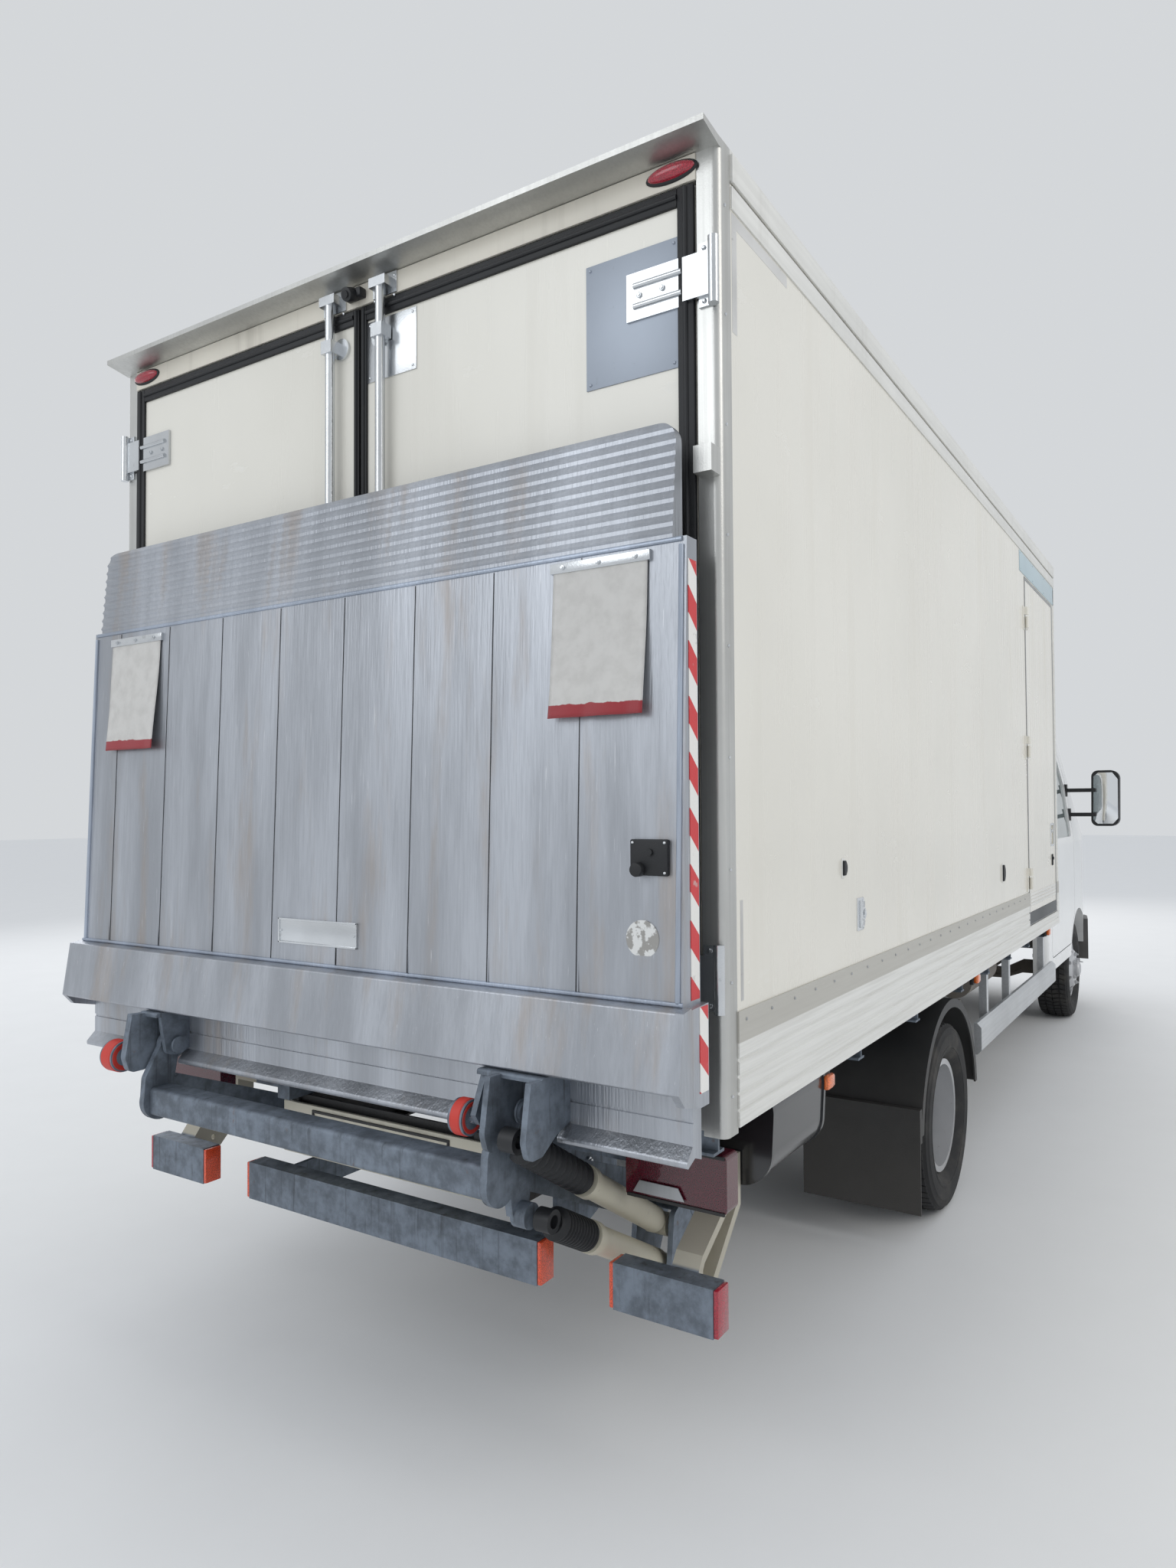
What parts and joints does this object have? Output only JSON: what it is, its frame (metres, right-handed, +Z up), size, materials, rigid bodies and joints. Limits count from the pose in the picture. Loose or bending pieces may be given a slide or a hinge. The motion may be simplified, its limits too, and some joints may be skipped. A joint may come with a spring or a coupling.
{
  "type": "refrigerated box truck with tail lift",
  "caption": "Light refrigerated box truck with an insulated body, side door, twin rear tyres and a closed cantilever tail lift.",
  "frame": {"origin": "on the ground, under the centre of the truck's outline", "axes": "+X forward to the cab, +Y to the truck's left, +Z up"},
  "size_m": [7.811, 2.6282, 3.094],
  "materials": {
    "frame_steel": "satin",
    "galvanised": "matte",
    "axle_black": "matte",
    "engine_grey": "matte",
    "tank_plastic": "matte",
    "exhaust_steel": "matte",
    "guard_aluminium": "satin",
    "black_plastic": "matte",
    "stainless": "satin",
    "floor_grey": "matte",
    "box_white": "gloss",
    "portal_stainless": "satin",
    "skirt_aluminium": "satin",
    "unit_white": "gloss",
    "cab_white": "gloss",
    "glass": "clear",
    "lamp_clear": "clear",
    "bumper_grey": "matte",
    "dash_grey": "matte",
    "seat_fabric": "woven",
    "rim_silver": "satin",
    "tyre": "matte",
    "pin_steel": "satin",
    "deck_aluminium": "brushed",
    "cylinder_cream": "satin",
    "rod_chrome": "polished",
    "lamp_red": "gloss"
  },
  "bodies": {
    "chassis": {"chassis_frame": "frame_steel", "subframe": "galvanised", "rear_axle": "axle_black", "front_axle": "axle_black", "leaf_springs": "axle_black", "engine_and_shaft": "engine_grey", "fuel_tank": "tank_plastic", "exhaust": "exhaust_steel", "side_guards": "guard_aluminium", "mudguards": "black_plastic", "power_pack": "stainless", "box_floor": "floor_grey", "box_roof": "box_white", "box_side_left": "box_white", "box_side_right": "box_white", "box_front_wall": "box_white", "rear_frame": "portal_stainless", "rear_door_left": "box_white", "rear_door_right": "box_white", "rear_door_gear": "stainless", "skirt_rails": "skirt_aluminium", "refrigeration_unit": "unit_white", "cab_shell": "cab_white", "front_wings": "cab_white", "cab_floor": "bumper_grey", "windscreen": "glass", "headlamps": "lamp_clear", "front_bumper": "bumper_grey", "dashboard": "dash_grey", "cab_seats": "seat_fabric", "lift_frame": "galvanised", "tail_lamps": "lamp_red"},
    "wheel_front_left": {"front_rim_left": "rim_silver", "front_tyre_left": "tyre"},
    "wheel_front_right": {"front_rim_right": "rim_silver", "front_tyre_right": "tyre"},
    "wheels_rear_left": {"rear_rims_left": "rim_silver", "rear_tyres_left": "tyre"},
    "wheels_rear_right": {"rear_rims_right": "rim_silver", "rear_tyres_right": "tyre"},
    "knuckle_left": {"knuckle_left": "axle_black"},
    "knuckle_right": {"knuckle_right": "axle_black"},
    "steering_wheel": {"steering_wheel": "black_plastic"},
    "cab_door_left": {"cab_door_left": "cab_white", "door_glass_left": "glass", "mirror_left": "black_plastic"},
    "cab_door_right": {"cab_door_right": "cab_white", "door_glass_right": "glass", "mirror_right": "black_plastic"},
    "bonnet": {"bonnet": "cab_white"},
    "side_door": {"side_door": "box_white"},
    "lift_arms": {"lift_arms": "galvanised"},
    "arm_pins": {"arm_pins": "pin_steel"},
    "platform": {"platform_deck": "deck_aluminium", "platform_brackets": "galvanised"},
    "lift_barrel": {"lift_barrel": "cylinder_cream"},
    "lift_rod": {"lift_rod": "rod_chrome"},
    "tilt_barrel": {"tilt_barrel": "cylinder_cream"},
    "tilt_rod": {"tilt_rod": "rod_chrome"}
  },
  "joints": [
    {"name": "steering_left", "type": "hinge", "parent": "chassis", "child": "knuckle_left", "pos_m": [2.9175, 0.7, 0.365], "axis": [0, 0, 1], "range_deg": [-35, 35]},
    {"name": "steering_right", "type": "hinge", "parent": "chassis", "child": "knuckle_right", "pos_m": [2.9175, -0.7, 0.365], "axis": [0, 0, 1], "range_deg": [-35, 35]},
    {"name": "steering_wheel_turn", "type": "hinge", "parent": "chassis", "child": "steering_wheel", "pos_m": [2.5375, 0.43, 1.33], "axis": [-0.4695, 0, 0.8829], "range_deg": [-425, 425]},
    {"name": "front_wheel_left_spin", "type": "hinge", "parent": "knuckle_left", "child": "wheel_front_left", "pos_m": [2.9175, 0.85, 0.365], "axis": [0, 1, 0], "continuous": true},
    {"name": "front_wheel_right_spin", "type": "hinge", "parent": "knuckle_right", "child": "wheel_front_right", "pos_m": [2.9175, -0.85, 0.365], "axis": [0, 1, 0], "continuous": true},
    {"name": "rear_wheels_left_spin", "type": "hinge", "parent": "chassis", "child": "wheels_rear_left", "pos_m": [-1.4325, 0.815, 0.365], "axis": [0, 1, 0], "continuous": true},
    {"name": "rear_wheels_right_spin", "type": "hinge", "parent": "chassis", "child": "wheels_rear_right", "pos_m": [-1.4325, -0.815, 0.365], "axis": [0, 1, 0], "continuous": true},
    {"name": "cab_door_left_swing", "type": "hinge", "parent": "chassis", "child": "cab_door_left", "pos_m": [2.7175, 1.012, 1.4], "axis": [0, 0, -1], "range_deg": [0, 62]},
    {"name": "cab_door_right_swing", "type": "hinge", "parent": "chassis", "child": "cab_door_right", "pos_m": [2.7175, -1.012, 1.4], "axis": [0, 0, 1], "range_deg": [0, 62]},
    {"name": "bonnet_lift", "type": "hinge", "parent": "chassis", "child": "bonnet", "pos_m": [3.2255, 0, 1.384], "axis": [0, -1, 0], "range_deg": [0, 55]},
    {"name": "side_door_swing", "type": "hinge", "parent": "chassis", "child": "side_door", "pos_m": [0.1575, -1.114, 1.9], "axis": [0, 0, -1], "range_deg": [0, 175]},
    {"name": "lift", "type": "hinge", "parent": "chassis", "child": "lift_arms", "pos_m": [-3.1125, 0, 0.51], "axis": [0, -1, 0], "range_deg": [0, 56]},
    {"name": "pin_level", "type": "hinge", "parent": "lift_arms", "child": "arm_pins", "pos_m": [-3.7725, 0, 0.91], "axis": [0, -1, 0], "range_deg": [-57, 1]},
    {"name": "platform_tilt", "type": "hinge", "parent": "arm_pins", "child": "platform", "pos_m": [-3.7725, 0, 0.91], "axis": [0, -1, 0], "range_deg": [0, 97]},
    {"name": "lift_barrel_turn", "type": "hinge", "parent": "chassis", "child": "lift_barrel", "pos_m": [-3.1925, -0.7075, 0.36], "axis": [0, -1, 0], "range_deg": [-1, 66]},
    {"name": "lift_rod_slide", "type": "slide", "parent": "lift_barrel", "child": "lift_rod", "axis": [-0.8742, 0, 0.4856], "range_m": [-0.14, 0.001]},
    {"name": "tilt_barrel_turn", "type": "hinge", "parent": "chassis", "child": "tilt_barrel", "pos_m": [-3.2025, -0.7075, 0.475], "axis": [0, -1, 0], "range_deg": [-1, 57]},
    {"name": "tilt_rod_slide", "type": "slide", "parent": "tilt_barrel", "child": "tilt_rod", "axis": [-0.8552, 0, 0.5183], "range_m": [-0.145, 0.001]}
  ],
  "couplings": [
    {"joint": "steering_right", "follows": "steering_left", "ratio": 1},
    {"joint": "steering_wheel_turn", "follows": "steering_left", "ratio": 12},
    {"joint": "pin_level", "follows": "lift", "ratio": -1},
    {"joint": "lift_barrel_turn", "follows": "lift", "ratio": 1.1548},
    {"joint": "lift_rod_slide", "follows": "lift", "m_per_rad": -0.13987},
    {"joint": "tilt_barrel_turn", "follows": "lift", "ratio": 1},
    {"joint": "tilt_rod_slide", "follows": "platform_tilt", "m_per_rad": -0.08352}
  ]
}
